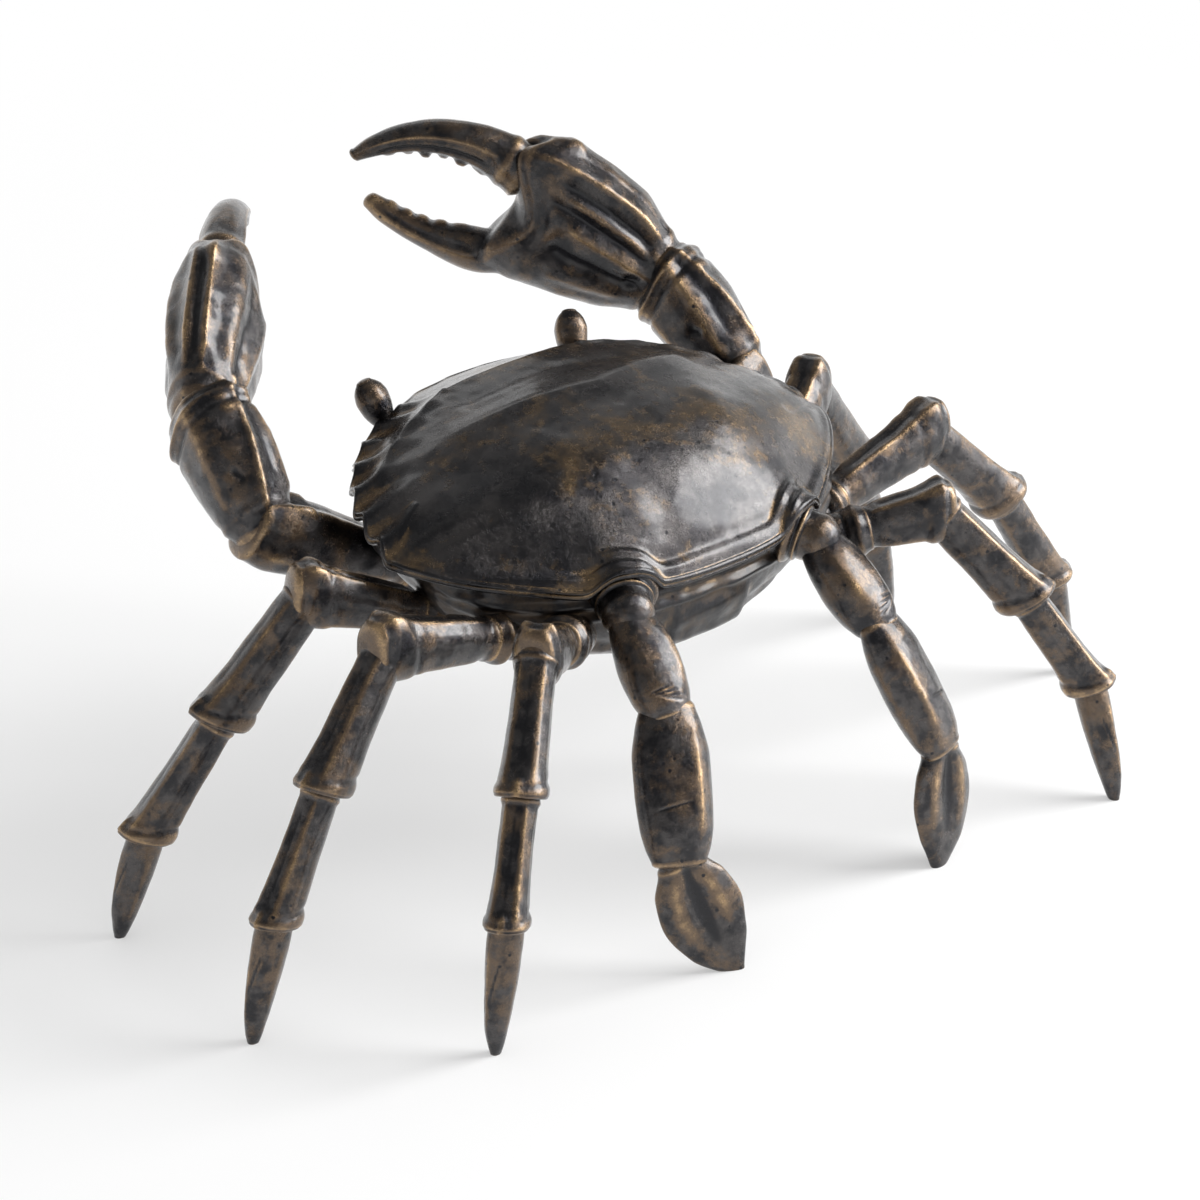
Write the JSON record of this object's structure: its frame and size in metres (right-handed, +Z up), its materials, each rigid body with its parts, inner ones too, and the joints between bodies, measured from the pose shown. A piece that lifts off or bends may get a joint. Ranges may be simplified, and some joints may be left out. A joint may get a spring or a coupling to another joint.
{
  "type": "crab figurine",
  "caption": "Free-standing crab figurine of dark cast bronze, with a domed shell, raised open claws, jointed walking legs and paddle-ended rear legs.",
  "frame": {"origin": "middle of the figurine's footprint, on the surface that it stands on", "axes": "+X to the crab's own left, along the span of its legs; +Y to its rear, away from the claws; +Z up"},
  "size_m": [0.302, 0.2216, 0.1581],
  "materials": {
    "shell_bronze": "dark brown patina, waxed, semi-gloss",
    "claw_bronze": "dark patina rubbed to gold on edges",
    "leg_bronze": "dark patina rubbed to gold on collars",
    "eye_bronze": "dark patina, waxed"
  },
  "bodies": {
    "root": {"carapace": "shell_bronze", "left_claw_arm": "claw_bronze", "left_claw_finger": "claw_bronze", "left_claw_palm": "claw_bronze", "left_claw_shoulder": "claw_bronze", "left_claw_wrist": "claw_bronze", "left_eye": "eye_bronze", "left_front_leg_ankle": "leg_bronze", "left_front_leg_hip": "leg_bronze", "left_front_leg_shin": "leg_bronze", "left_front_leg_thigh": "leg_bronze", "left_front_leg_toe": "leg_bronze", "left_middle_leg_ankle": "leg_bronze", "left_middle_leg_hip": "leg_bronze", "left_middle_leg_shin": "leg_bronze", "left_middle_leg_thigh": "leg_bronze", "left_middle_leg_toe": "leg_bronze", "left_paddle_leg_blade": "leg_bronze", "left_paddle_leg_hip": "leg_bronze", "left_paddle_leg_shin": "leg_bronze", "left_paddle_leg_thigh": "leg_bronze", "left_rear_leg_ankle": "leg_bronze", "left_rear_leg_hip": "leg_bronze", "left_rear_leg_shin": "leg_bronze", "left_rear_leg_thigh": "leg_bronze", "left_rear_leg_toe": "leg_bronze", "right_claw_arm": "claw_bronze", "right_claw_finger": "claw_bronze", "right_claw_palm": "claw_bronze", "right_claw_shoulder": "claw_bronze", "right_claw_wrist": "claw_bronze", "right_eye": "eye_bronze", "right_front_leg_ankle": "leg_bronze", "right_front_leg_hip": "leg_bronze", "right_front_leg_shin": "leg_bronze", "right_front_leg_thigh": "leg_bronze", "right_front_leg_toe": "leg_bronze", "right_middle_leg_ankle": "leg_bronze", "right_middle_leg_hip": "leg_bronze", "right_middle_leg_shin": "leg_bronze", "right_middle_leg_thigh": "leg_bronze", "right_middle_leg_toe": "leg_bronze", "right_paddle_leg_blade": "leg_bronze", "right_paddle_leg_hip": "leg_bronze", "right_paddle_leg_shin": "leg_bronze", "right_paddle_leg_thigh": "leg_bronze", "right_rear_leg_ankle": "leg_bronze", "right_rear_leg_hip": "leg_bronze", "right_rear_leg_shin": "leg_bronze", "right_rear_leg_thigh": "leg_bronze", "right_rear_leg_toe": "leg_bronze", "underbody": "shell_bronze"}
  },
  "joints": []
}
